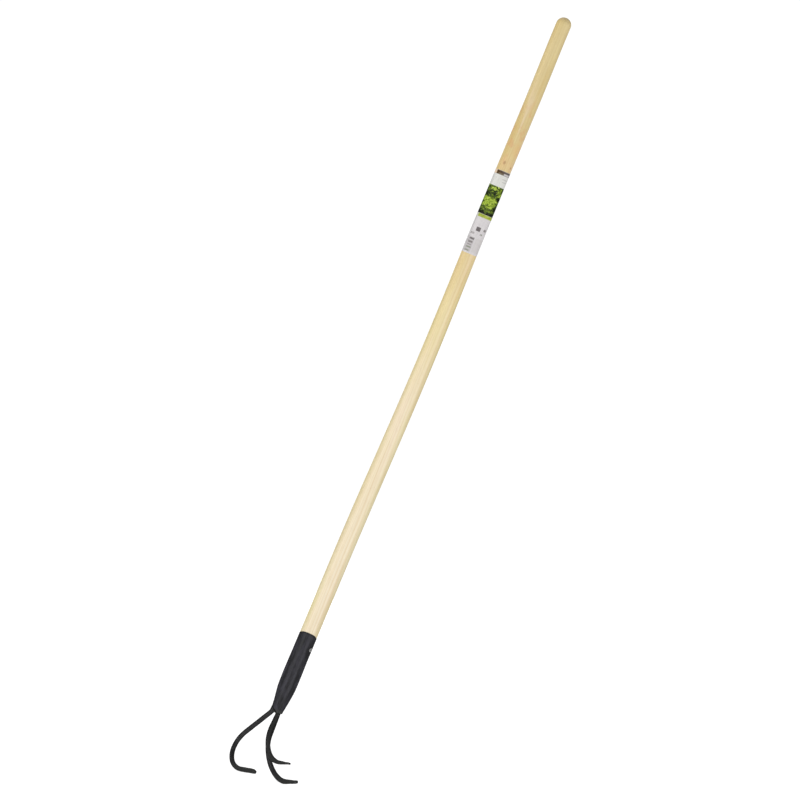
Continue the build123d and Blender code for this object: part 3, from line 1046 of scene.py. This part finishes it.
# ---- Screw ----
def make_screw(material, count=64):
    """Countersunk screw with a cross recess, made along its own axis and then laid in place."""
    rings = []

    def ring(radius, height, recess=0.0):
        points = []
        for i in range(count):
            a = FULL_TURN * i / count
            x, y = radius * math.cos(a), radius * math.sin(a)
            in_arm = soft_step(CROSS_HALF_WIDTH - min(abs(x), abs(y)), 0, 0.3)
            in_cross = in_arm * soft_step(CROSS_REACH - radius, 0, 0.4)
            points.append(Vector((x, y, height - recess * in_cross)))
        rings.append(points)

    for r in (0.25, 0.6, 0.9, 1.2, 1.5, 1.8, 2.0, 2.2, 2.4, 2.8, 3.2):
        ring(r, SCREW_CROWN * (1 - (r / SCREW_HEAD_R) ** 2), CROSS_DEPTH)
    ring(SCREW_HEAD_R - 0.12, 0.0)
    ring(SCREW_HEAD_R, -0.18)
    ring(SCREW_SHANK_R, -(SCREW_HEAD_R - SCREW_SHANK_R))
    ring(SCREW_SHANK_R, SCREW_POINT - SCREW_LENGTH)
    ring(0.2, -SCREW_LENGTH)
    vertices, faces = closed_tube(rings)
    out = level(SCREW_SIDE)
    turned = Matrix.Rotation(math.radians(CROSS_TURN), 3, "Z")
    stand = out.to_track_quat("Z", "Y").to_matrix() @ turned
    seat = out * SCREW_FACE + Vector((0, 0, SCREW_Z))
    vertices = [stand @ v + seat for v in vertices]
    shell = (vertices, [tuple(reversed(face)) for face in faces])
    make_piece("screw_cross_head", shell, material, "socket_screw", sharp=30)


# ---- Stage ----
def make_floor(height):
    mesh = bpy.data.meshes.new("floor")
    signs = ((-1, -1), (1, -1), (1, 1), (-1, 1))
    corners = [(x * FLOOR_REACH, y * FLOOR_REACH, height) for x, y in signs]
    mesh.from_pydata(corners, [], [(0, 1, 2, 3)])
    floor = bpy.data.objects.new("floor", mesh)
    bpy.context.scene.collection.objects.link(floor)
    s = Shader("floor_white")
    s.set(base_color=(0.30, 0.30, 0.30, 1), roughness=1.0, specular_ior_level=0.0)
    s.set(emission_color=WHITE, emission_strength=0.93)
    mesh.materials.append(s.material)
    # The floor is for the eye alone: the room's own light stands in for its bounce
    floor.visible_diffuse = False
    floor.visible_glossy = False
    floor.visible_shadow = False


def make_light(name, beside_camera, height, width, tall, watts, mirrored):
    """Soft box aimed at the object. One that isn't mirrored only brightens matt surfaces."""
    data = bpy.data.lights.new(name, "AREA")
    data.shape = "RECTANGLE"
    data.size = width
    data.size_y = tall
    data.energy = watts
    light = bpy.data.objects.new(name, data)
    bpy.context.scene.collection.objects.link(light)
    light.visible_glossy = mirrored
    light.location = toward_camera(CAMERA_AZIMUTH + beside_camera) * LIGHT_DISTANCE
    light.location.z = height
    aim = Vector((0, 0, LIGHT_AIM)) - light.location
    light.rotation_mode = "QUATERNION"
    light.rotation_quaternion = aim.to_track_quat("-Z", "Y")


def make_world():
    """A pale room: bright to the eye, soft on matt surfaces and dim in shiny ones."""
    world = bpy.data.worlds.new("white_room")
    bpy.context.scene.world = world
    world.use_nodes = True
    tree = world.node_tree
    path = tree.nodes.new("ShaderNodeLightPath")
    room = tree.nodes["Background"]
    room.inputs["Strength"].default_value = 0.42
    shown = room
    for ray, strength in (("Is Glossy Ray", 0.13), ("Is Camera Ray", 1.05)):
        other = tree.nodes.new("ShaderNodeBackground")
        other.inputs["Strength"].default_value = strength
        pick = tree.nodes.new("ShaderNodeMixShader")
        tree.links.new(path.outputs[ray], pick.inputs[0])
        tree.links.new(shown.outputs[0], pick.inputs[1])
        tree.links.new(other.outputs[0], pick.inputs[2])
        other.inputs["Color"].default_value = WHITE
        shown = pick
    room.inputs["Color"].default_value = WHITE
    tree.links.new(shown.outputs[0], tree.nodes["World Output"].inputs["Surface"])


bpy.context.scene.view_settings.view_transform = "Standard"
make_camera()
for light_name, settings in LIGHTS.items():
    make_light(light_name, *settings)
make_world()
make_floor(cad_low.z - FLOOR_DROP)

rod_paint = tine_paint_material()
make_handle(wood_material())
make_label(paper_material())
make_socket(socket_paint_material())
make_screw(screw_material())
right_line, left_line = (
    make_outer_tine(name, rod_paint, **shape) for name, shape in OUTER_TINES.items()
)
middle_line = make_middle_tine(rod_paint)
beads = joined(edge_bead(1, right_line), edge_bead(-1, left_line))
make_piece("side_weld_beads", beads, bead_material(), "side_welds")
fill = nose_fill((right_line, left_line, middle_line))
make_piece("nose_weld_fill", fill, weld_material(), "nose_weld")
